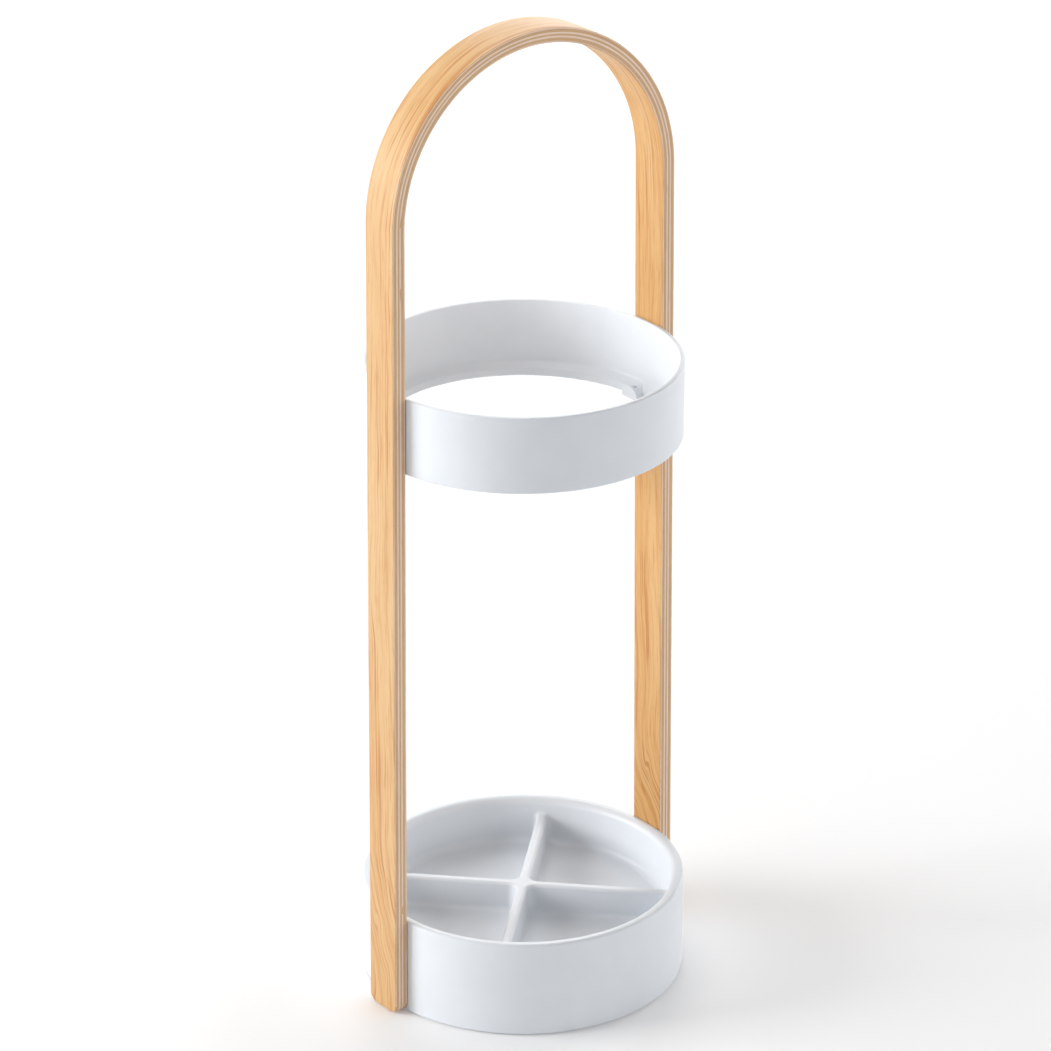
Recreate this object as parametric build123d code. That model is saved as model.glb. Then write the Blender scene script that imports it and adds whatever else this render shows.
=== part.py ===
from build123d import *
import math
import os

# Umbrella stand: a laminated wooden hoop, a plastic ring between its legs, and a
# weighted plastic base with a cross divider. Millimetres, +Z up, +X towards the
# right leg, origin on the floor under the middle of the base.

# Hoop: a flat wooden strap, bent into an upside-down U with slightly splayed legs.
HOOP_INNER_RADIUS = 98.2
HOOP_WIDTH = 27.5
SPRING_HEIGHT = 527.4
FOOT_HALF_GAP = 103.3
HOOP_BOTTOM = 1.0
HOOP_CORNER = 5.5
# Plies from the inner face outwards: (node, thickness).
PLIES = [
    ("hoop_inner_veneer", 1.05),
    ("hoop_inner_core_ply", 1.95),
    ("hoop_inner_cross_ply", 1.05),
    ("hoop_middle_ply", 1.30),
    ("hoop_outer_cross_ply", 1.05),
    ("hoop_outer_core_ply", 1.95),
    ("hoop_outer_veneer", 0.85),
]

# Upper ring.
RING_RADIUS = 100.0
RING_BOTTOM = 372.2
RING_HEIGHT = 49.4
RING_WALL = 3.0
RING_LIP = 9.7
RING_LIP_HEIGHT = 5.0
LIP_RISE = 4.6
LIP_CURVE = 4.0
GROOVE_EDGE = 2.6
GROOVE_DEPTH = 2.4
GROOVE_BACK_DEPTH = 4.6
SOFT_EDGE = 0.9
BOSS_RADIUS = 7.8
BOSS_FLAT = 0.8
BOSS_SCREW_HEIGHT = 4.7
BOSS_FACE = 14.0
BOSS_NECK_RADIUS = 6.9
BOSS_FLARE_RADIUS = 12.5
BOSS_FLARE_CURVE = 7.0
BOSS_SCREW_SEAT = 10.4
BOSS_PLATE = 1.2
BOSS_PLATE_GAP = 0.2
BOSS_PLUG_RADIUS = 3.2

# Base tray.
BASE_RADIUS = 104.0
BASE_BOTTOM = 1.0
BASE_TOP = 65.2
SKIRT_WALL = 3.0
RIM_WIDTH = 7.6
FLOOR_TOP = 35.0
FLOOR_THICKNESS = 3.0
FLOOR_RADIUS = 93.5
FLOOR_FILLET = 5.0
RIB_TOP = 54.3
RIB_WIDTH = 6.4
RIB_DRAFT = 4.0
RIB_EDGE = 2.2
RIB_CORNER = 5.0
RIB_ROOT = 3.0
RIM_INNER_EDGE = 4.9

# The plastic stands this far off the wood, on the flanges of the inserts.
INSERT_FLANGE = 0.5
INSERT_LENGTH = 7.0
INSERT_FLANGE_WIDTH = 1.9
RING_INSERT_RADIUS = 3.2
LEG_INSERT_RADIUS = 3.8

# Fasteners of the ring (M4) and of the base legs (M5).
RING_SCREW_RADIUS = 2.0
RING_HEAD_RADIUS = 3.0
RING_HEAD_HEIGHT = 1.7
RING_SOCKET = (1.2, 1.1)
RING_RECESS_RADIUS = 3.3
RING_WASHER_RADIUS = 3.2
RING_WASHER = 0.5
LEG_SCREW_RADIUS = 2.5
LEG_HEAD_RADIUS = 4.6
LEG_HEAD_HEIGHT = 2.6
LEG_SOCKET = (1.7, 1.6)
LEG_WASHER_RADIUS = 5.0
LEG_WASHER = 1.0
LEG_WASHER_GAP = 0.15
HEAD_EDGE = 1.2
SCREW_TIP_GAP = 0.6
LEG_SCREW_HEIGHTS = (11.0, 25.0)
LEG_PAD_INNER = 96.5
LEG_PAD_HALF_WIDTH = 17.0

# Under the dish.
SKIRT_DEPTH = 8.0
COVER_THICKNESS = 2.8
COVER_GAP = 0.4
PAD_GAP = 0.2
BALLAST_RADIUS = 80.0
BALLAST_BOTTOM = 14.0
BALLAST_TOP = 24.0
BALLAST_SCREW_CIRCLE = 55.0
BALLAST_SCREW_RADIUS = 1.9
BALLAST_SCREW_TOP = 32.0
BALLAST_HOLE_RADIUS = 2.3
BALLAST_EDGE = 0.8
BALLAST_HEAD = (4.0, 2.4)
BALLAST_RECESS = (1.4, 1.2)
COVER_SCREW_CIRCLE = 91.0
COVER_SCREW_RADIUS = 1.6
COVER_SCREW_TOP = 16.0
COVER_HEAD_RADIUS = 3.2
COVER_RECESS = (1.1, 1.0)
POST_RADIUS = 4.5
FIRST_POST_ANGLE = 45.0
FOOT_CIRCLE = 82.0
FOOT_RADIUS = 8.0
FOOT_HEIGHT = 2.2
FOOT_EDGE = 0.5

# A cutting shape reaches this far past the surface it opens.
PAST = 1.0

# A turned surface has its seam at this angle from +X, clear of legs, ribs and screws.
SEAM_ANGLE = 20.0

# The legs lean outwards by this angle, so the arch is a little short of a half circle.
HOOP_THICKNESS = sum(thickness for node, thickness in PLIES)
SPLAY = math.atan((FOOT_HALF_GAP - HOOP_INNER_RADIUS) / (SPRING_HEIGHT - HOOP_BOTTOM))
COS_SPLAY = math.cos(SPLAY)
SIN_SPLAY = math.sin(SPLAY)
TAN_SPLAY = math.tan(SPLAY)


def leg_face(height):
    """Distance from the middle plane to the leg's inner face at a height."""
    tangent_x = HOOP_INNER_RADIUS * COS_SPLAY
    tangent_z = SPRING_HEIGHT + HOOP_INNER_RADIUS * SIN_SPLAY
    return tangent_x + (tangent_z - height) * TAN_SPLAY


def leg_plane(height):
    """Plane on the right leg's inner face, its normal pointing out through the wood."""
    return Plane(
        origin=(leg_face(height), 0, height),
        x_dir=(0, 1, 0),
        z_dir=(COS_SPLAY, 0, SIN_SPLAY),
    )


def bar(plane, radius, start, end):
    """Round bar along a plane's normal, from start to end above the plane."""
    return plane * Pos(0, 0, (start + end) / 2) * Cylinder(radius, end - start)


def disc(radius, low, high, x=0.0, y=0.0):
    """Upright cylinder between two heights."""
    return Pos(x, y, (low + high) / 2) * Cylinder(radius, high - low)


def turned(points, radii):
    """Solid of revolution about Z from an outline of (radius, height) corners."""
    outline = FilletPolyline(*points, radius=radii, close=True)
    solid = revolve(Plane.XZ * make_face(outline), axis=Axis.Z)
    return Rot(0, 0, SEAM_ANGLE) * solid


def around(radius, count, first_angle=0.0):
    """Points on a circle, by angle from +X."""
    angles = [math.radians(first_angle + 360 * i / count) for i in range(count)]
    return [(radius * math.cos(a), radius * math.sin(a)) for a in angles]


def both_legs(shape):
    """A right-leg shape and its copy at the left leg."""
    return [shape, Rot(0, 0, 180) * shape]


def save(node, shapes):
    """Write one node, as separate solids when it has several."""
    solids = shapes if isinstance(shapes, list) else [shapes]
    bodies = [solid for shape in solids for solid in shape.solids()]
    whole = bodies[0] if len(bodies) == 1 else Compound(children=bodies)
    whole.label = node
    export_step(whole, f"parts/{node}.step")


# ---------------------------------------------------------------- hoop

def hoop_curve(offset):
    """Corner points of a line along the hoop, a distance outside its inner face."""
    radius = HOOP_INNER_RADIUS + offset
    tangent = (radius * COS_SPLAY, SPRING_HEIGHT + radius * SIN_SPLAY)
    foot = (tangent[0] + (tangent[1] - HOOP_BOTTOM) * TAN_SPLAY, HOOP_BOTTOM)
    crown = (0, SPRING_HEIGHT + radius)
    return foot, tangent, crown


def mirrored(point):
    return (-point[0], point[1])


def hoop_layer(inner, outer):
    """Strap between two distances from the hoop's inner face, square at the feet."""
    edges = []
    for offset in (inner, outer):
        foot, tangent, crown = hoop_curve(offset)
        edges.append(Line(mirrored(foot), mirrored(tangent)))
        edges.append(ThreePointArc(mirrored(tangent), crown, tangent))
        edges.append(Line(tangent, foot))
    inner_foot = hoop_curve(inner)[0]
    outer_foot = hoop_curve(outer)[0]
    edges.append(Line(inner_foot, outer_foot))
    edges.append(Line(mirrored(inner_foot), mirrored(outer_foot)))
    face = make_face(edges)
    return extrude(Plane.XZ * face, amount=HOOP_WIDTH / 2, both=True)


def hoop_blank():
    """Block with the strap's width and its rounded foot corners, seen along X."""
    height = SPRING_HEIGHT + HOOP_INNER_RADIUS + 2 * HOOP_THICKNESS
    side = Rectangle(HOOP_WIDTH, height, align=(Align.CENTER, Align.MIN))
    side = Pos(0, HOOP_BOTTOM) * side
    corners = side.vertices().group_by(Axis.Y)[0]
    side = fillet(corners, HOOP_CORNER)
    return extrude(Plane.YZ * side, amount=2 * FOOT_HALF_GAP, both=True)


def insert_sites():
    """(plane, body radius, bore radius) of each threaded insert in the right leg."""
    ring_plane = leg_plane(RING_BOTTOM + BOSS_SCREW_HEIGHT)
    sites = [(ring_plane, RING_INSERT_RADIUS, RING_SCREW_RADIUS)]
    for height in LEG_SCREW_HEIGHTS:
        sites.append((leg_plane(height), LEG_INSERT_RADIUS, LEG_SCREW_RADIUS))
    return sites


def make_hoop():
    blank = hoop_blank()
    pockets = []
    for plane, body, bore in insert_sites():
        pockets += both_legs(bar(plane, body, -PAST, INSERT_LENGTH))
    depth = 0.0
    for node, thickness in PLIES:
        layer = hoop_layer(depth, depth + thickness) & blank
        if depth < INSERT_LENGTH:
            layer = layer - pockets
        save(node, layer)
        depth += thickness


def threaded_insert(plane, body, bore):
    """Flanged insert: the flange on the wood's face, the body in its pocket."""
    flange = bar(plane, body + INSERT_FLANGE_WIDTH, -INSERT_FLANGE, 0)
    barrel = bar(plane, body, -INSERT_FLANGE, INSERT_LENGTH)
    return flange + barrel - bar(plane, bore, -PAST, INSERT_LENGTH + PAST)


def washer(plane, radius, bore, thickness, seat):
    """Flat washer against a seat on a plane's normal."""
    ring = bar(plane, radius, seat - thickness, seat)
    return ring - bar(plane, bore, seat - 2 * thickness, seat + thickness)


def machine_screw(plane, shank, head, seat, socket):
    """Screw with a (radius, height) head and a (radius, depth) hexagon socket."""
    head_radius, head_height = head
    across, depth = socket
    body = bar(plane, head_radius, seat - head_height, seat)
    body = body + bar(plane, shank, seat, INSERT_LENGTH - SCREW_TIP_GAP)
    hexagon = plane * Pos(0, 0, seat - head_height) * RegularPolygon(across, 6)
    return body - extrude(hexagon, amount=depth)


# ---------------------------------------------------------------- ring

def leg_flat(height, reach):
    """Block that trims a wall back to the flat that faces the leg."""
    block = Box(2 * reach, 3 * reach, 20, align=(Align.CENTER, Align.CENTER, Align.MIN))
    return leg_plane(height) * Pos(0, 0, -INSERT_FLANGE) * block


def half_disc(radius):
    """Upper half of a disc that stands on the ring's lower edge, in a leg plane."""
    centre = Pos(0, BOSS_FLAT - BOSS_SCREW_HEIGHT)
    keep = Rectangle(2 * radius, radius, align=(Align.CENTER, Align.MIN))
    return centre * (Circle(radius) & keep)


def screw_boss(axis):
    """Half-round neck around the ring screw, flaring out towards the ring's wall."""
    reach = BOSS_FACE - INSERT_FLANGE - 0.7
    outline = FilletPolyline(
        (0, 0),
        (BOSS_NECK_RADIUS, 0),
        (BOSS_NECK_RADIUS, reach - 2),
        (BOSS_FLARE_RADIUS, reach),
        (0, reach),
        radius=[0, 0.8, BOSS_FLARE_CURVE, 0, 0],
        close=True,
    )
    turned_neck = revolve(Plane.XZ * make_face(outline), axis=Axis.Z)
    block = Box(
        3 * BOSS_FLARE_RADIUS, BOSS_FLARE_RADIUS, BOSS_FACE,
        align=(Align.CENTER, Align.MIN, Align.MIN),
    )
    neck = Rot(0, 0, SEAM_ANGLE) * turned_neck & block
    return axis * Pos(0, BOSS_FLAT - BOSS_SCREW_HEIGHT, -BOSS_FACE) * neck


def ring_shell():
    """Turned ring with its inward lip, and the groove under the lip."""
    low = RING_BOTTOM
    high = RING_BOTTOM + RING_HEIGHT
    lip = RING_RADIUS - RING_LIP
    wall = RING_RADIUS - RING_WALL
    lip_top = low + RING_LIP_HEIGHT
    shell = turned(
        [
            (lip, low), (lip, lip_top), (wall - PAST, lip_top + LIP_RISE),
            (wall, high), (RING_RADIUS, high), (RING_RADIUS, low),
        ],
        [1.0, 1.6, LIP_CURVE, SOFT_EDGE, SOFT_EDGE, SOFT_EDGE],
    )
    groove_in = lip + GROOVE_EDGE
    groove_out = wall - 0.8
    groove = turned(
        [
            (groove_in, low - PAST), (groove_in, low + GROOVE_DEPTH),
            (groove_out, low + GROOVE_BACK_DEPTH), (groove_out, low - PAST),
        ],
        [0, 0, 0, 0],
    )
    # The groove stops on each side of the screw bosses.
    bridge = Pos(0, 0, low) * Box(3 * RING_RADIUS, 3 * BOSS_RADIUS, RING_HEIGHT)
    return shell - (groove - bridge)


def make_ring():
    axis = leg_plane(RING_BOTTOM + BOSS_SCREW_HEIGHT)
    seat = -BOSS_SCREW_SEAT
    ring = ring_shell()
    for block in both_legs(screw_boss(axis)):
        ring = ring + block
    for block in both_legs(leg_flat(RING_BOTTOM + RING_HEIGHT / 2, RING_HEIGHT)):
        ring = ring - block
    bore = bar(axis, RING_SCREW_RADIUS, -BOSS_FACE - PAST, 2)
    recess = bar(axis, RING_RECESS_RADIUS, -BOSS_FACE - PAST, seat)
    for hole in both_legs(bore) + both_legs(recess):
        ring = ring - hole
    save("upper_ring", ring)

    under_head = seat - RING_WASHER
    ring_washer = washer(axis, RING_WASHER_RADIUS, RING_SCREW_RADIUS, RING_WASHER, seat)
    head = (RING_HEAD_RADIUS, RING_HEAD_HEIGHT)
    screw = machine_screw(axis, RING_SCREW_RADIUS, head, under_head, RING_SOCKET)
    save("ring_washers", both_legs(ring_washer))
    save("ring_screws", both_legs(screw))

    plate_face = -BOSS_FACE - BOSS_PLATE_GAP - BOSS_PLATE
    plate = extrude(axis * Pos(0, 0, plate_face) * half_disc(BOSS_RADIUS), amount=BOSS_PLATE)
    plug_end = under_head - RING_HEAD_HEIGHT - BOSS_PLATE_GAP
    plug = bar(axis, BOSS_PLUG_RADIUS, plate_face + BOSS_PLATE / 2, plug_end)
    save("ring_screw_covers", both_legs(plate + plug))

    plane, body, screw_bore = insert_sites()[0]
    save("ring_inserts", both_legs(threaded_insert(plane, body, screw_bore)))


# ---------------------------------------------------------------- base

def dish(skin):
    """Inside of the dish, grown outwards into the moulding by a skin thickness."""
    rim = BASE_RADIUS - RIM_WIDTH + skin
    floor = FLOOR_TOP - skin
    wall = FLOOR_RADIUS + skin
    top = BASE_TOP + 5
    slope = (rim - wall) / (BASE_TOP - floor)
    return turned(
        [(0, floor), (wall, floor), (rim + slope * 5, top), (0, top)],
        [0, FLOOR_FILLET + skin, 0, 0],
    )


def cross_divider():
    """Cross of two tapered ribs on the diagonals, with soft upper edges."""
    height = RIB_TOP - (FLOOR_TOP - 1)
    spread = 2 * height * math.tan(math.radians(RIB_DRAFT))
    rib = Rectangle(2 * BASE_RADIUS, RIB_WIDTH + spread)
    cross = rib + Rot(0, 0, 90) * rib
    inner = cross.vertices().filter_by(lambda v: Vector(v.X, v.Y).length < 30)
    cross = fillet(inner, RIB_CORNER)
    body = extrude(Pos(0, 0, FLOOR_TOP - 1) * cross, amount=height, taper=RIB_DRAFT)
    body = fillet(body.faces().sort_by(Axis.Z)[-1].edges(), RIB_EDGE)
    return Rot(0, 0, 45) * body


def near(a, b):
    return abs(a - b) < 0.01


def is_rib_root(edge):
    """True where a rib's side meets the dish floor or wall."""
    low, high = sorted((edge @ 0, edge @ 1), key=lambda point: point.Z)
    if edge.geom_type in (GeomType.BSPLINE, GeomType.HYPERBOLA):
        return low.Z < RIB_TOP - 2 * RIB_EDGE
    on_floor = near(low.Z, FLOOR_TOP) and near(high.Z, FLOOR_TOP)
    return on_floor and (edge.geom_type == GeomType.LINE or edge.length < 3 * RIB_CORNER)


def dish_hollow():
    """Space inside the dish: four compartments around the ribs, with rounded roots."""
    hollow = dish(0) - cross_divider()
    return fillet(hollow.edges().filter_by(is_rib_root), RIB_ROOT)


def is_dish_rim(edge):
    """True on the edge where the flat top of the rim meets the dish."""
    start = edge @ 0
    middle = edge @ 0.5
    level = near(start.Z, BASE_TOP) and near(middle.Z, BASE_TOP)
    return level and near(math.hypot(middle.X, middle.Y), BASE_RADIUS - RIM_WIDTH)


def underside_hollow():
    """Space between the skirt and the underside of the dish."""
    skirt_inner = BASE_RADIUS - SKIRT_WALL
    low = BASE_BOTTOM - PAST
    high = BASE_TOP - SKIRT_DEPTH
    space = turned([(0, low), (skirt_inner, low), (skirt_inner, high), (0, high)], [0, 0, 1.0, 0])
    return space - dish(FLOOR_THICKNESS)


def leg_pad(puck, low):
    """Solid pad behind the skirt that takes the right leg's screws."""
    outer = BASE_RADIUS - PAST
    middle = Pos((LEG_PAD_INNER + outer) / 2, 0, (low + FLOOR_TOP) / 2)
    return middle * Box(outer - LEG_PAD_INNER, 2 * LEG_PAD_HALF_WIDTH, FLOOR_TOP - low) & puck


def cover_screw_sites():
    return around(COVER_SCREW_CIRCLE, 4, FIRST_POST_ANGLE)


def make_tray():
    puck = turned(
        [(0, BASE_BOTTOM), (BASE_RADIUS, BASE_BOTTOM), (BASE_RADIUS, BASE_TOP), (0, BASE_TOP)],
        [0, SOFT_EDGE, 1.9, 0],
    )
    tray = puck - underside_hollow()
    pad_low = BASE_BOTTOM + COVER_THICKNESS + PAD_GAP
    for block in both_legs(leg_pad(puck, pad_low)):
        tray = tray + block
    for x, y in cover_screw_sites():
        tray = tray + disc(POST_RADIUS, pad_low, FLOOR_TOP + FLOOR_THICKNESS, x, y)
    for x, y in around(BALLAST_SCREW_CIRCLE, 4):
        tray = tray + disc(POST_RADIUS, BALLAST_TOP, FLOOR_TOP - 1, x, y)

    for x, y in cover_screw_sites():
        tray = tray - disc(COVER_SCREW_RADIUS, 0, COVER_SCREW_TOP + 2, x, y)
    for x, y in around(BALLAST_SCREW_CIRCLE, 4):
        tray = tray - disc(BALLAST_SCREW_RADIUS, BALLAST_TOP - PAST, BALLAST_SCREW_TOP + 0.5, x, y)
    for block in both_legs(leg_flat((BASE_TOP + BASE_BOTTOM) / 2, BASE_TOP)):
        tray = tray - block
    for height in LEG_SCREW_HEIGHTS:
        for hole in both_legs(bar(leg_plane(height), LEG_SCREW_RADIUS, -12, 2)):
            tray = tray - hole

    tray = tray - dish_hollow()
    tray = fillet(tray.edges().filter_by(is_dish_rim), RIM_INNER_EDGE)
    save("base_tray", tray)


def make_leg_fasteners():
    washers = []
    screws = []
    inserts = []
    for height in LEG_SCREW_HEIGHTS:
        plane = leg_plane(height)
        seat = LEG_PAD_INNER - leg_face(height) - LEG_WASHER_GAP
        head = (LEG_HEAD_RADIUS, LEG_HEAD_HEIGHT)
        screw = machine_screw(plane, LEG_SCREW_RADIUS, head, seat - LEG_WASHER, LEG_SOCKET)
        rims = screw.edges().filter_by(GeomType.CIRCLE).sort_by(Axis.X)
        screw = fillet(rims[0], HEAD_EDGE)
        screws += both_legs(screw)
        washers += both_legs(washer(plane, LEG_WASHER_RADIUS, LEG_SCREW_RADIUS, LEG_WASHER, seat))
    for plane, body, bore in insert_sites()[1:]:
        inserts += both_legs(threaded_insert(plane, body, bore))
    save("leg_screw_washers", washers)
    save("leg_screws", screws)
    save("leg_inserts", inserts)


def make_ballast():
    ballast = disc(BALLAST_RADIUS, BALLAST_BOTTOM, BALLAST_TOP)
    ballast = chamfer(ballast.edges(), BALLAST_EDGE)
    head_radius, head_height = BALLAST_HEAD
    recess_radius, recess_depth = BALLAST_RECESS
    head_low = BALLAST_BOTTOM - head_height
    screws = []
    for x, y in around(BALLAST_SCREW_CIRCLE, 4):
        hole = disc(BALLAST_HOLE_RADIUS, BALLAST_BOTTOM - PAST, BALLAST_TOP + PAST, x, y)
        ballast = ballast - hole
        head = disc(head_radius, head_low, BALLAST_BOTTOM, x, y)
        shank = disc(BALLAST_SCREW_RADIUS, BALLAST_BOTTOM, BALLAST_SCREW_TOP, x, y)
        recess = disc(recess_radius, head_low, head_low + recess_depth, x, y)
        screws.append(head + shank - recess)
    save("ballast_plate", ballast)
    save("ballast_screws", screws)


def make_cover():
    cover_top = BASE_BOTTOM + COVER_THICKNESS
    cover = disc(BASE_RADIUS - SKIRT_WALL - COVER_GAP, BASE_BOTTOM, cover_top)
    recess_radius, recess_depth = COVER_RECESS
    sink_height = COVER_HEAD_RADIUS / 2
    screws = []
    for x, y in cover_screw_sites():
        sink = Pos(x, y, BASE_BOTTOM + sink_height / 2) * Cone(
            COVER_HEAD_RADIUS, COVER_SCREW_RADIUS, sink_height
        )
        hole = disc(COVER_SCREW_RADIUS, BASE_BOTTOM, cover_top + PAST, x, y)
        cover = cover - sink - hole
        shank = disc(COVER_SCREW_RADIUS, BASE_BOTTOM + 1, COVER_SCREW_TOP, x, y)
        recess = disc(recess_radius, BASE_BOTTOM - 0.1, BASE_BOTTOM + recess_depth, x, y)
        screws.append(sink + shank - recess)
    for x, y in around(FOOT_CIRCLE, 4):
        cover = cover - disc(FOOT_RADIUS, BASE_BOTTOM - PAST, FOOT_HEIGHT, x, y)
    save("bottom_cover", cover)
    save("bottom_cover_screws", screws)


def make_feet():
    names = ("right", "back", "left", "front")
    for name, (x, y) in zip(names, around(FOOT_CIRCLE, 4)):
        foot = disc(FOOT_RADIUS, 0, FOOT_HEIGHT, x, y)
        foot = fillet(foot.edges().sort_by(Axis.Z)[0], FOOT_EDGE)
        save(f"rubber_foot_{name}", foot)


os.makedirs("parts", exist_ok=True)
make_hoop()
make_ring()
make_tray()
make_leg_fasteners()
make_ballast()
make_cover()
make_feet()
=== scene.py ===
import bpy
import math
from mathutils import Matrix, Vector


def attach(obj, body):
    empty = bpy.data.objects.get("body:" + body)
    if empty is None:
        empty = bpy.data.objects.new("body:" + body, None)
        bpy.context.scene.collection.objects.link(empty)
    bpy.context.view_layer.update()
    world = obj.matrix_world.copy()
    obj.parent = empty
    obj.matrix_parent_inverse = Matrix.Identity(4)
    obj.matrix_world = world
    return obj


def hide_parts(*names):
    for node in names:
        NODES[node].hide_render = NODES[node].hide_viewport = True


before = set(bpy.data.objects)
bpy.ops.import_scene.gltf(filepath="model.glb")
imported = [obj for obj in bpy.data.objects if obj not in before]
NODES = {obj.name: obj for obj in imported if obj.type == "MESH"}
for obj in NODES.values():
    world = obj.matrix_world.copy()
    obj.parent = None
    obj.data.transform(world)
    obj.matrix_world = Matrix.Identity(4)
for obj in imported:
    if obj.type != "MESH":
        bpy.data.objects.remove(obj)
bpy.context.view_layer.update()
MM = 0.001
MICRON = 0.000001


# ------------------------------------------------------------------ camera

def aim(obj, place, target):
    """Put a lamp or the camera somewhere and point it at a target, level."""
    obj.location = place
    obj.rotation_mode = "QUATERNION"
    obj.rotation_quaternion = (Vector(target) - Vector(place)).to_track_quat("-Z", "Y")


AZIMUTH = math.radians(37.217)
ELEVATION = math.radians(23.926)
DISTANCE = 2.834
TARGET = Vector((0.0013, -0.0010, 0.3075))
BACK = Vector((
    -math.sin(AZIMUTH) * math.cos(ELEVATION),
    -math.cos(AZIMUTH) * math.cos(ELEVATION),
    math.sin(ELEVATION),
))
SENSOR_WIDTH = 36.0
FOCAL_LENGTH = 154.86
cam_data = bpy.data.cameras.new("camera")
cam_data.sensor_width = SENSOR_WIDTH
cam_data.lens = FOCAL_LENGTH
cam_data.clip_start = 0.1
cam_data.clip_end = 60.0
camera = bpy.data.objects.new("camera", cam_data)
bpy.context.scene.collection.objects.link(camera)
aim(camera, TARGET + BACK * DISTANCE, TARGET)
bpy.context.scene.camera = camera
bpy.context.scene.view_settings.view_transform = "Standard"


# ------------------------------------------------------------------ shader building

class Shader:
    """A material under construction: short calls that add and wire nodes."""

    def __init__(self, name):
        self.mat = bpy.data.materials.new(name)
        self.mat.use_nodes = True
        self.tree = self.mat.node_tree
        self.tree.nodes.clear()
        self.out = self.tree.nodes.new("ShaderNodeOutputMaterial")
        self.bsdf = self.tree.nodes.new("ShaderNodeBsdfPrincipled")
        self.tree.links.new(self.bsdf.outputs[0], self.out.inputs[0])

    def put(self, socket, value):
        if isinstance(value, bpy.types.NodeSocket):
            self.tree.links.new(value, socket)
        elif isinstance(value, tuple) and len(value) == 3 and socket.type == "RGBA":
            socket.default_value = (*value, 1.0)
        else:
            socket.default_value = value

    def math(self, operation, a, b=0.0, c=0.0):
        node = self.tree.nodes.new("ShaderNodeMath")
        node.operation = operation
        for socket, value in zip(node.inputs, (a, b, c)):
            self.put(socket, value)
        return node.outputs[0]

    def remap(self, value, low, high):
        """Smooth step from 0 at low to 1 at high."""
        node = self.tree.nodes.new("ShaderNodeMapRange")
        node.interpolation_type = "SMOOTHSTEP"
        for name, given in (("Value", value), ("From Min", low), ("From Max", high)):
            self.put(node.inputs[name], given)
        return node.outputs[0]

    def blotch(self, value, low, high, amount):
        """How much of a second colour shows: amount where value is above high."""
        return self.math("MULTIPLY", self.remap(value, low, high), amount)

    def mix(self, factor, a, b):
        node = self.tree.nodes.new("ShaderNodeMix")
        node.data_type = "RGBA"
        self.put(node.inputs[0], factor)
        self.put(node.inputs[6], a)
        self.put(node.inputs[7], b)
        return node.outputs[2]

    def vector(self, x, y, z):
        node = self.tree.nodes.new("ShaderNodeCombineXYZ")
        for socket, value in zip(node.inputs, (x, y, z)):
            self.put(socket, value)
        return node.outputs[0]

    def noise(self, vector, scale=1.0, detail=2.0, roughness=0.5, distortion=0.0):
        node = self.tree.nodes.new("ShaderNodeTexNoise")
        self.put(node.inputs["Vector"], vector)
        node.inputs["Scale"].default_value = scale
        node.inputs["Detail"].default_value = detail
        node.inputs["Roughness"].default_value = roughness
        node.inputs["Distortion"].default_value = distortion
        return node.outputs[0]

    def object_coordinates(self):
        return self.tree.nodes.new("ShaderNodeTexCoord").outputs["Object"]

    def bump(self, height, distance, strength):
        node = self.tree.nodes.new("ShaderNodeBump")
        node.inputs["Strength"].default_value = strength
        node.inputs["Distance"].default_value = distance
        self.put(node.inputs["Height"], height)
        return node.outputs[0]

    def surface(self, **inputs):
        for name, value in inputs.items():
            self.put(self.bsdf.inputs[name.replace("_", " ")], value)
        return self.mat


def srgb(r, g, b):
    """Linear colour from screen values 0 to 255."""
    def linear(value):
        value /= 255.0
        return value / 12.92 if value <= 0.04045 else ((value + 0.055) / 1.055) ** 2.4
    return (linear(r), linear(g), linear(b))


def strap_coordinates(s):
    """Along, across and through the strap, in metres, from the mesh's own values."""
    node = s.tree.nodes.new("ShaderNodeAttribute")
    node.attribute_type = "GEOMETRY"
    node.attribute_name = "strap"
    split = s.tree.nodes.new("ShaderNodeSeparateXYZ")
    s.tree.links.new(node.outputs["Vector"], split.inputs[0])
    return split.outputs[0], split.outputs[1], split.outputs[2]


# Grain layers of the face veneers, each with its features per metre along and across
# the strap, an offset that keeps it apart from the others, detail and roughness.
FACE_GRAIN = {
    "tone": (4.0, 60.0, 1.7, 2.0, 0.55),
    "lines": (9.0, 520.0, 5.1, 3.0, 0.6),
    "fine": (70.0, 2300.0, 9.3, 2.0, 0.55),
    "pores": (150.0, 3600.0, 11.1, 1.0, 0.55),
    "streaks": (7.0, 330.0, 13.9, 4.0, 0.6),
    "dashes": (34.0, 1300.0, 17.7, 2.0, 0.55),
}
# Slow noises that bend the grain and that make streaks come and go.
WANDER = (7.0, 16.0, 0.3, 2.0, 0.5)
RIPPLE = (34.0, 60.0, 3.3, 1.0, 0.5)
PRESENCE = (11.0, 70.0, 21.0, 1.0, 0.5)
# How far they shift the grain across the strap, on the straight and at a foot, in metres.
WANDER_SHIFT = (0.016, 0.020)
RIPPLE_SHIFT = (0.0018, 0.009)
FOOT_LEAN = 0.030
SWIRL_STRETCH = 2.2
SWIRL_BEND = 0.45
SWIRL_CORE = 0.35
PALE_EDGE = srgb(243, 221, 204)
PALE_EDGE_STREAK = srgb(226, 198, 174)
FILLER_FLECK = srgb(250, 238, 226)


def grain_noise(s, along, across, seed, layer):
    """Noise drawn out along the strap, from a row of features, offset, detail, roughness."""
    along_scale, across_scale, offset, detail, roughness = layer
    vector = s.vector(
        s.math("MULTIPLY", along, along_scale),
        s.math("MULTIPLY", across, across_scale),
        seed + offset,
    )
    return s.noise(vector, detail=detail, roughness=roughness)


def square(s, value):
    return s.math("MULTIPLY", value, value)


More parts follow.
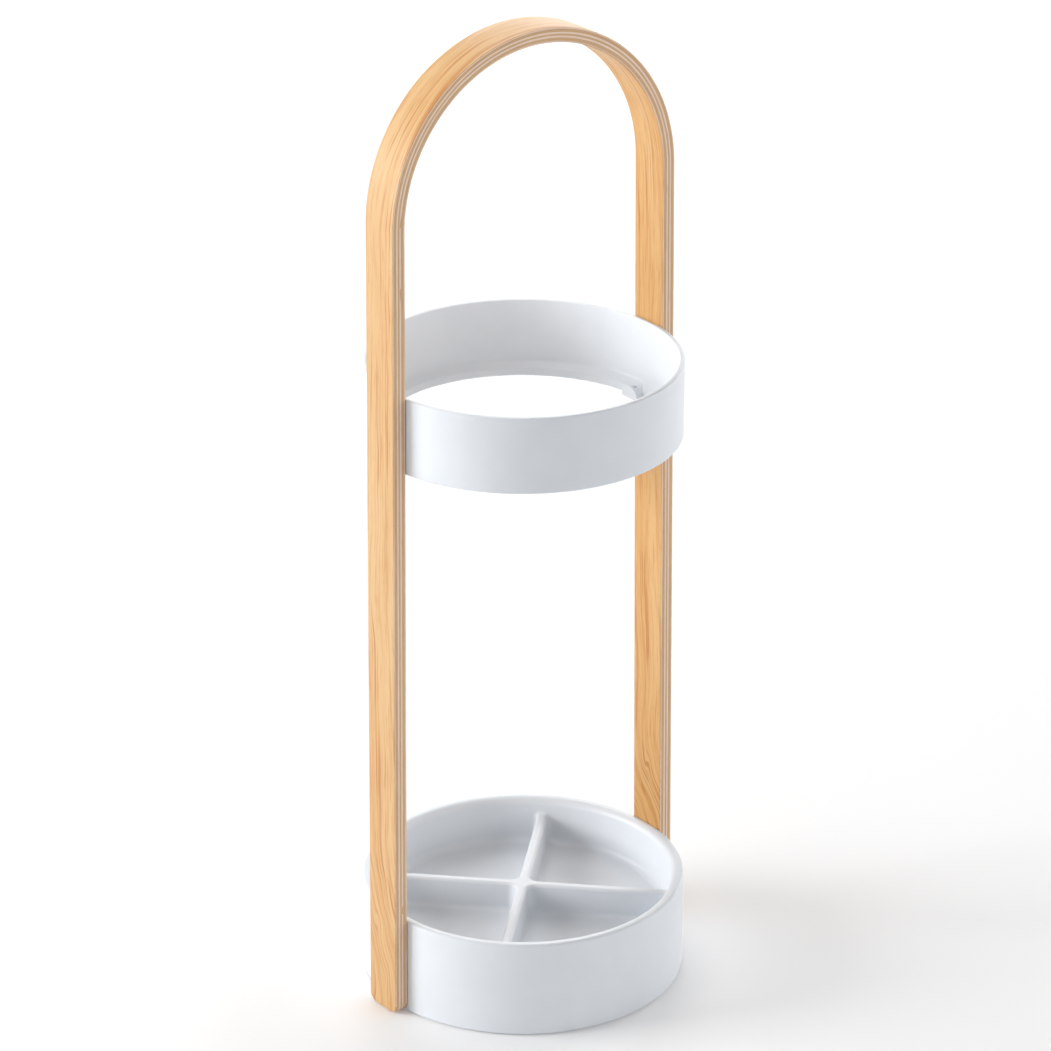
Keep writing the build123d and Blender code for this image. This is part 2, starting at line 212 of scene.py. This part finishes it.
def bent_grain(s, along, across, seed, foot, swirl):
    """Across coordinate of the grain: it wanders, leans over at a foot and rounds a swirl."""
    wander = s.math("SUBTRACT", grain_noise(s, along, across, seed, WANDER), 0.5)
    ripple = s.math("SUBTRACT", grain_noise(s, along, across, seed, RIPPLE), 0.5)
    wander_reach = s.math("MULTIPLY_ADD", foot, WANDER_SHIFT[1], WANDER_SHIFT[0])
    ripple_reach = s.math("MULTIPLY_ADD", foot, RIPPLE_SHIFT[1], RIPPLE_SHIFT[0])
    shift = s.math("MULTIPLY", wander, wander_reach)
    shift = s.math("ADD", shift, s.math("MULTIPLY", ripple, ripple_reach))
    lean = s.math("MULTIPLY", s.math("POWER", foot, 1.6), FOOT_LEAN)
    swirl_along, swirl_across, size = swirl
    near_along = s.math("DIVIDE", s.math("SUBTRACT", along, swirl_along), size * SWIRL_STRETCH)
    near_across = s.math("DIVIDE", s.math("SUBTRACT", across, swirl_across), size)
    reach = s.math("ADD", square(s, near_along), square(s, near_across))
    pull = s.math("MULTIPLY", near_across, size * SWIRL_BEND)
    bend = s.math("DIVIDE", pull, s.math("ADD", reach, SWIRL_CORE))
    return s.math("SUBTRACT", s.math("ADD", s.math("ADD", across, shift), lean), bend)


def face_wood(name, seed, base, line_colour, streak_colour, feet, swirl):
    """Lacquered face veneer: blond, straight grained, with drifting darker streaks.

    feet is (distance, distance) over which the slanting figure of a foot grows, and
    swirl is (along, across, size) of a spot that the grain bends round.
    """
    s = Shader(name)
    along, across, depth = strap_coordinates(s)
    foot = s.remap(along, *feet)
    bent = bent_grain(s, along, across, seed, foot, swirl)
    grain = {key: grain_noise(s, along, bent, seed, layer) for key, layer in FACE_GRAIN.items()}

    # Dark streaks come and go along the strap, and crowd together near the foot.
    present = s.remap(grain_noise(s, along, across, seed, PRESENCE), 0.36, 0.54)
    present = s.math("MAXIMUM", present, s.math("MULTIPLY", foot, 0.95))
    streak = s.math("MULTIPLY", s.remap(grain["streaks"], 0.54, 0.63), present)
    line = s.remap(grain["lines"], 0.50, 0.62)
    line_depth = s.math("MULTIPLY_ADD", foot, 0.25, 0.36)
    pores = s.remap(grain["pores"], 0.66, 0.74)

    colour = s.mix(s.remap(grain["tone"], 0.32, 0.70), base[0], base[1])
    colour = s.mix(s.math("MULTIPLY", line, line_depth), colour, line_colour)
    colour = s.mix(s.math("MULTIPLY", streak, 0.72), colour, streak_colour)
    colour = s.mix(s.blotch(grain["dashes"], 0.56, 0.66, 0.40), colour, streak_colour)
    colour = s.mix(s.blotch(grain["fine"], 0.42, 0.72, 0.22), colour, line_colour)
    colour = s.mix(s.math("MULTIPLY", pores, 0.35), colour, streak_colour)
    # The cut edges of the veneer are paler than its face.
    edge_start = HOOP_HALF_WIDTH - 30 * MICRON
    edge = s.remap(s.math("ABSOLUTE", across), edge_start, edge_start + 20 * MICRON)
    edge_colour = s.mix(s.remap(grain["lines"], 0.35, 0.70), PALE_EDGE, PALE_EDGE_STREAK)
    colour = s.mix(edge, colour, edge_colour)

    height = s.math("MULTIPLY", grain["fine"], 0.5)
    height = s.math("ADD", height, s.math("MULTIPLY", grain["lines"], 0.8))
    height = s.math("SUBTRACT", height, s.math("MULTIPLY", pores, 1.2))
    return s.surface(
        Base_Color=colour,
        Roughness=s.math("MULTIPLY_ADD", grain["lines"], 0.10, 0.38),
        Normal=s.bump(height, 30 * MICRON, 0.45),
        Specular_IOR_Level=0.22,
        Coat_Weight=0.06,
        Coat_Roughness=0.25,
        IOR=1.48,
    )


def ply_wood(name, seed, light, dark, speck, gap=None):
    """Sanded edge of an inner ply: streaked along the strap, with fine pores."""
    s = Shader(name)
    along, across, depth = strap_coordinates(s)
    side = s.math("MULTIPLY", across, 40.0)

    def grain(along_scale, depth_scale, offset, detail=3.0):
        vector = s.vector(
            s.math("MULTIPLY", along, along_scale),
            s.math("MULTIPLY", depth, depth_scale),
            s.math("ADD", side, seed + offset),
        )
        return s.noise(vector, detail=detail, roughness=0.6)

    tone = grain(24.0, 500.0, 1.0)
    streak = grain(110.0, 2600.0, 4.0)
    pores = grain(900.0, 2600.0, 8.0, detail=2.0)
    colour = s.mix(s.remap(tone, 0.30, 0.72), dark, light)
    colour = s.mix(s.blotch(streak, 0.48, 0.75, 0.45), colour, speck)
    colour = s.mix(s.blotch(pores, 0.62, 0.74, 0.7), colour, speck)
    if gap is not None:
        colour = filled_gaps(s, along, depth, side, seed, colour, gap)
    return s.surface(
        Base_Color=colour,
        Roughness=s.math("MULTIPLY_ADD", tone, 0.15, 0.55),
        Normal=s.bump(s.math("ADD", streak, pores), 40 * MICRON, 0.6),
        IOR=1.46,
    )


def filled_gaps(s, along, depth, side, seed, colour, gap):
    """Short stretches where the ply has split out and been filled, with pale flecks."""
    layer = s.math("MULTIPLY_ADD", depth, 400.0, side)
    where = s.noise(s.vector(s.math("MULTIPLY", along, 48.0), seed + 40.0, layer), detail=0.0)
    colour = s.mix(s.remap(where, 0.745, 0.76), colour, gap)
    spots = s.vector(
        s.math("MULTIPLY", along, 700.0),
        s.math("MULTIPLY", depth, 900.0),
        seed,
    )
    flecks = s.remap(s.noise(spots, detail=1.0), 0.66, 0.72)
    return s.mix(s.math("MULTIPLY", flecks, s.remap(where, 0.71, 0.75)), colour, FILLER_FLECK)


def moulded_plastic(name, colour, shade, roughness):
    """Injection moulded plastic: faint mottling, fine spark texture, slight scuffs."""
    s = Shader(name)
    coordinates = s.object_coordinates()
    cloud = s.noise(coordinates, scale=38.0, detail=3.0)
    fine = s.noise(coordinates, scale=9000.0, detail=2.0, roughness=0.6)
    swirl = s.noise(coordinates, scale=160.0, detail=4.0, roughness=0.6, distortion=0.4)
    tint = s.mix(s.remap(cloud, 0.3, 0.7), colour, shade)
    rough = s.math("ADD", s.blotch(swirl, 0.35, 0.70, 0.07), roughness)
    rough = s.math("MULTIPLY_ADD", fine, 0.04, rough)
    height = s.math("MULTIPLY_ADD", swirl, 0.4, fine)
    return s.surface(
        Base_Color=tint, Roughness=rough, Normal=s.bump(height, 6 * MICRON, 0.6), IOR=1.5,
    )


def metal(name, colour, shade, roughness, metallic=1.0):
    """Turned or plated metal with a slightly uneven sheen."""
    s = Shader(name)
    coordinates = s.object_coordinates()
    cloud = s.noise(coordinates, scale=240.0, detail=4.0)
    fine = s.noise(coordinates, scale=5000.0, detail=2.0)
    return s.surface(
        Base_Color=s.mix(s.remap(cloud, 0.3, 0.7), colour, shade),
        Metallic=metallic,
        Roughness=s.math("MULTIPLY_ADD", cloud, 0.2, roughness),
        Normal=s.bump(fine, 10 * MICRON, 0.5),
    )


def rubber(name, colour, shade):
    """Matt rubber with a fine skin."""
    s = Shader(name)
    coordinates = s.object_coordinates()
    cloud = s.noise(coordinates, scale=300.0, detail=4.0)
    fine = s.noise(coordinates, scale=4000.0, detail=2.0)
    return s.surface(
        Base_Color=s.mix(s.remap(cloud, 0.3, 0.7), colour, shade),
        Roughness=s.math("MULTIPLY_ADD", cloud, 0.2, 0.65),
        Normal=s.bump(fine, 20 * MICRON, 0.5),
    )


# ------------------------------------------------------------------ hoop

HOOP_INNER_RADIUS = 98.2 * MM
HOOP_HALF_WIDTH = 13.75 * MM
SPRING_HEIGHT = 527.4 * MM
FOOT_HALF_GAP = 103.3 * MM
HOOP_BOTTOM = 1.0 * MM
HOOP_CORNER = 5.5 * MM
PLIES = [
    ("hoop_inner_veneer", 1.05, "face_veneer"),
    ("hoop_inner_core_ply", 1.95, "core_ply"),
    ("hoop_inner_cross_ply", 1.05, "cross_ply"),
    ("hoop_middle_ply", 1.30, "core_ply"),
    ("hoop_outer_cross_ply", 1.05, "cross_ply"),
    ("hoop_outer_core_ply", 1.95, "core_ply"),
    ("hoop_outer_veneer", 0.85, "face_veneer"),
]
HOOP_THICKNESS = sum(thickness for node, thickness, slot_name in PLIES) * MM
SPLAY = math.atan((FOOT_HALF_GAP - HOOP_INNER_RADIUS) / (SPRING_HEIGHT - HOOP_BOTTOM))
MID_RADIUS = HOOP_INNER_RADIUS + HOOP_THICKNESS / 2


def hoop_line(offset):
    """Foot and tangent points of a line a distance outside the hoop's inner face."""
    radius = HOOP_INNER_RADIUS + offset
    tangent = Vector((radius * math.cos(SPLAY), 0, SPRING_HEIGHT + radius * math.sin(SPLAY)))
    foot_x = tangent.x + (tangent.z - HOOP_BOTTOM) * math.tan(SPLAY)
    return Vector((foot_x, 0, HOOP_BOTTOM)), tangent


MID_FOOT, MID_TANGENT = hoop_line(HOOP_THICKNESS / 2)
LEG_LENGTH = (MID_FOOT - MID_TANGENT).length
ARCH_LENGTH = MID_RADIUS * (math.pi - 2 * SPLAY)
HOOP_LENGTH = 2 * LEG_LENGTH + ARCH_LENGTH


def hoop_point(distance, offset, across):
    """Point of the hoop: distance along its middle line from the right foot."""
    mirror = 1
    if distance > HOOP_LENGTH / 2:
        distance = HOOP_LENGTH - distance
        mirror = -1
    foot, tangent = hoop_line(offset)
    if distance < LEG_LENGTH:
        place = foot.lerp(tangent, distance / LEG_LENGTH)
    else:
        angle = SPLAY + (distance - LEG_LENGTH) / MID_RADIUS
        radius = HOOP_INNER_RADIUS + offset
        place = Vector((radius * math.cos(angle), 0, SPRING_HEIGHT + radius * math.sin(angle)))
    return Vector((mirror * place.x, across, place.z))


CORNER_STEPS = 12
LEG_STEP = 4 * MM
ARCH_STEPS = 56


def hoop_stations():
    """Distances along the hoop where its cross-section is placed, close at the corners."""
    turn = [math.pi / 2 * i / CORNER_STEPS for i in range(CORNER_STEPS + 1)]
    half = [HOOP_CORNER * (1 - math.cos(angle)) for angle in turn]
    place = half[-1]
    while place < LEG_LENGTH - 3 * MM:
        place += LEG_STEP
        half.append(place)
    half[-1] = LEG_LENGTH
    half += [LEG_LENGTH + ARCH_LENGTH / 2 * i / ARCH_STEPS for i in range(1, ARCH_STEPS + 1)]
    return half + [HOOP_LENGTH - place for place in reversed(half[:-1])]


def half_width(distance):
    """Half the strap's width, less near the feet where its corners are rounded."""
    end = min(distance, HOOP_LENGTH - distance)
    if end >= HOOP_CORNER:
        return HOOP_HALF_WIDTH
    drop = HOOP_CORNER - math.sqrt(max(0.0, HOOP_CORNER ** 2 - (HOOP_CORNER - end) ** 2))
    return HOOP_HALF_WIDTH - drop


EASE = 0.35 * MM
EASE_STEPS = 4
FACE_COLUMNS = 8
CORE_RECESS = 0.03 * MM
SHARP_ANGLE = math.radians(35.0)


def ply_outline(low, high, half, ease_low, ease_high):
    """Closed outline of a ply's cross-section as (depth, across) pairs."""
    def face(depth, inward, ease):
        """One broad side, from +across to -across, with its eased corners."""
        corner = [(depth, half)]
        if ease:
            turn = [math.pi / 2 * i / EASE_STEPS for i in range(EASE_STEPS + 1)]
            corner = [
                (depth + inward * ease * (1 - math.sin(angle)), half - ease * (1 - math.cos(angle)))
                for angle in turn
            ]
        inner_half = corner[-1][1]
        flat = [(depth, inner_half * (1 - 2 * i / FACE_COLUMNS)) for i in range(1, FACE_COLUMNS)]
        return corner + flat + [(d, -a) for d, a in reversed(corner)]

    outer = face(high, -1, ease_high)
    inner = face(low, 1, ease_low)
    return outer + inner[::-1]


def mesh_piece(name, verts, faces, material):
    """Mesh object riding on the stand, smooth but for its real edges."""
    mesh = bpy.data.meshes.new(name)
    mesh.from_pydata([tuple(v) for v in verts], [], faces)
    mesh.validate()
    for polygon in mesh.polygons:
        polygon.use_smooth = True
    mesh.set_sharp_from_angle(angle=SHARP_ANGLE)
    mesh.materials.append(material)
    piece = bpy.data.objects.new(name, mesh)
    bpy.context.scene.collection.objects.link(piece)
    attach(piece, "root")
    return piece


def make_ply(node, low, high, material, ease_low=0.0, ease_high=0.0, recess=0.0):
    """One ply of the hoop as a closed strip swept from foot to foot."""
    verts = []
    strap = []
    stations = hoop_stations()
    for distance in stations:
        outline = ply_outline(low, high, half_width(distance) - recess, ease_low, ease_high)
        for depth, across in outline:
            verts.append(hoop_point(distance, depth, across))
            strap.extend((distance, across, depth))
    count = len(outline)
    faces = []
    for row in range(len(stations) - 1):
        a = row * count
        b = a + count
        for i in range(count):
            j = (i + 1) % count
            faces.append((a + i, a + j, b + j, b + i))
    faces.append(tuple(reversed(range(count))))
    faces.append(tuple(range(len(verts) - count, len(verts))))
    piece = mesh_piece(node.replace("hoop", "strap"), verts, faces, material)
    attribute = piece.data.attributes.new("strap", "FLOAT_VECTOR", "POINT")
    attribute.data.foreach_set("vector", strap)
    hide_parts(node)


OUTER_SWIRL = (HOOP_LENGTH - 60 * MM, 7 * MM, 4 * MM)
INNER_SWIRL = (108 * MM, 0.0, 5 * MM)
outer_wood = face_wood(
    "veneer_outer", 3.7,
    base=(srgb(203, 164, 115), srgb(208, 174, 129)),
    line_colour=srgb(187, 132, 76),
    streak_colour=srgb(174, 112, 57),
    feet=(HOOP_LENGTH - 150 * MM, HOOP_LENGTH - 10 * MM),
    swirl=OUTER_SWIRL,
)
inner_wood = face_wood(
    "veneer_inner", 47.1,
    base=(srgb(204, 158, 101), srgb(209, 171, 119)),
    line_colour=srgb(186, 129, 71),
    streak_colour=srgb(172, 107, 52),
    feet=(150 * MM, 40 * MM),
    swirl=INNER_SWIRL,
)
brown_ply = ply_wood(
    "ply_brown", 11.0,
    light=srgb(217, 180, 139), dark=srgb(207, 167, 126), speck=srgb(174, 131, 91),
)
pale_ply = ply_wood(
    "ply_pale", 29.0,
    light=srgb(243, 221, 204), dark=srgb(236, 211, 191), speck=srgb(212, 180, 154),
    gap=srgb(206, 166, 126),
)


def make_hoop():
    """The seven plies; the outermost corners are eased and the core plies sanded back."""
    low = 0.0
    for node, thickness, slot_name in PLIES:
        high = low + thickness * MM
        if node == "hoop_inner_veneer":
            make_ply(node, low, high, inner_wood, ease_low=EASE)
        elif node == "hoop_outer_veneer":
            make_ply(node, low, high, outer_wood, ease_high=EASE)
        elif slot_name == "core_ply":
            make_ply(node, low, high, brown_ply, recess=CORE_RECESS)
        else:
            make_ply(node, low, high, pale_ply)
        low = high


make_hoop()


# ------------------------------------------------------------------ carried-over nodes

FINISHES = {
    "white_plastic": moulded_plastic(
        "white_plastic", (0.755, 0.790, 0.830), (0.735, 0.770, 0.812), 0.36
    ),
    "cover_plastic": moulded_plastic("cover_plastic", (0.60, 0.63, 0.66), (0.56, 0.59, 0.62), 0.5),
    "brass_insert": metal("brass_insert", (0.72, 0.52, 0.25), (0.62, 0.44, 0.20), 0.25),
    "zinc_steel": metal("zinc_steel", (0.62, 0.63, 0.65), (0.52, 0.53, 0.55), 0.25),
    "ballast_iron": metal("ballast_iron", (0.10, 0.10, 0.105), (0.16, 0.15, 0.145), 0.45, 0.6),
    "foot_rubber": rubber("foot_rubber", (0.05, 0.052, 0.055), (0.08, 0.082, 0.085)),
}
for obj in NODES.values():
    if obj.hide_render:
        continue
    for place, material in enumerate(list(obj.data.materials)):
        finish = FINISHES.get(material.name.split(".")[0])
        if finish:
            obj.data.materials[place] = finish


# ------------------------------------------------------------------ studio

FLOOR_HALF = 10.0
FLOOR_GLOW = 0.10


def floor():
    """Plain pale floor, with a little light of its own so that it stays near white."""
    s = Shader("studio_floor")
    cloud = s.noise(s.object_coordinates(), scale=3.0, detail=2.0)
    material = s.surface(
        Base_Color=s.mix(s.remap(cloud, 0.3, 0.7), (0.90, 0.90, 0.90), (0.89, 0.89, 0.89)),
        Roughness=0.9,
        Specular_IOR_Level=0.1,
        Emission_Color=(1.0, 1.0, 1.0),
        Emission_Strength=FLOOR_GLOW,
    )
    corners = [
        (-FLOOR_HALF, -FLOOR_HALF, 0),
        (FLOOR_HALF, -FLOOR_HALF, 0),
        (FLOOR_HALF, FLOOR_HALF, 0),
        (-FLOOR_HALF, FLOOR_HALF, 0),
    ]
    mesh = bpy.data.meshes.new("studio_floor")
    mesh.from_pydata(corners, [], [(0, 1, 2, 3)])
    mesh.materials.append(material)
    piece = bpy.data.objects.new("studio_floor", mesh)
    bpy.context.scene.collection.objects.link(piece)


def softbox(name, place, target, size, power):
    """Square soft lamp, hidden from the camera."""
    data = bpy.data.lights.new(name, "AREA")
    data.shape = "SQUARE"
    data.size = size
    data.energy = power
    lamp = bpy.data.objects.new(name, data)
    bpy.context.scene.collection.objects.link(lamp)
    aim(lamp, place, target)
    lamp.visible_camera = False


HORIZON_LOW = 0.12
HORIZON_HIGH = 0.62


def studio_air(base, band):
    """Soft light from all round: an even base, and a brighter band above the horizon."""
    world = bpy.data.worlds.new("studio")
    world.use_nodes = True
    bpy.context.scene.world = world
    tree = world.node_tree
    tree.nodes.clear()
    split = tree.nodes.new("ShaderNodeSeparateXYZ")
    tree.links.new(tree.nodes.new("ShaderNodeTexCoord").outputs["Generated"], split.inputs[0])
    fade = tree.nodes.new("ShaderNodeMapRange")
    fade.interpolation_type = "SMOOTHSTEP"
    tree.links.new(split.outputs[2], fade.inputs["Value"])
    fade.inputs["From Min"].default_value = HORIZON_LOW
    fade.inputs["From Max"].default_value = HORIZON_HIGH
    fade.inputs["To Min"].default_value = 1.0
    fade.inputs["To Max"].default_value = 0.0
    strength = tree.nodes.new("ShaderNodeMath")
    strength.operation = "MULTIPLY_ADD"
    tree.links.new(fade.outputs[0], strength.inputs[0])
    strength.inputs[1].default_value = band
    strength.inputs[2].default_value = base
    background = tree.nodes.new("ShaderNodeBackground")
    tree.links.new(strength.outputs[0], background.inputs["Strength"])
    out = tree.nodes.new("ShaderNodeOutputWorld")
    tree.links.new(background.outputs[0], out.inputs["Surface"])


floor()
studio_air(0.15, 0.90)

CENTRE = Vector((0.0, 0.0, 0.32))
# Soft boxes round the stand: name, azimuth from +X and elevation in degrees, distance
# and size in metres, power in watts.
SOFTBOXES = [
    ("key_back_left", 147, 14, 2.6, 1.30, 60.0),
    ("left", 182, 14, 2.6, 1.0, 3.0),
    ("front_right", 297, 14, 2.6, 1.25, 10.0),
    ("right", 335, 14, 2.6, 1.25, 7.5),
    ("back_right", 10, 14, 2.6, 1.25, 19.0),
    ("back", 50, 16, 2.6, 1.40, 15.0),
    ("back_high", 60, 45, 2.6, 1.20, 13.0),
    ("overhead", 150, 80, 0.80, 0.50, 2.0),
]
for name, azimuth, elevation, distance, size, power in SOFTBOXES:
    turn = math.radians(azimuth)
    rise = math.radians(elevation)
    direction = Vector((
        math.cos(turn) * math.cos(rise),
        math.sin(turn) * math.cos(rise),
        math.sin(rise),
    ))
    softbox(name, CENTRE + direction * distance, CENTRE, size, power)
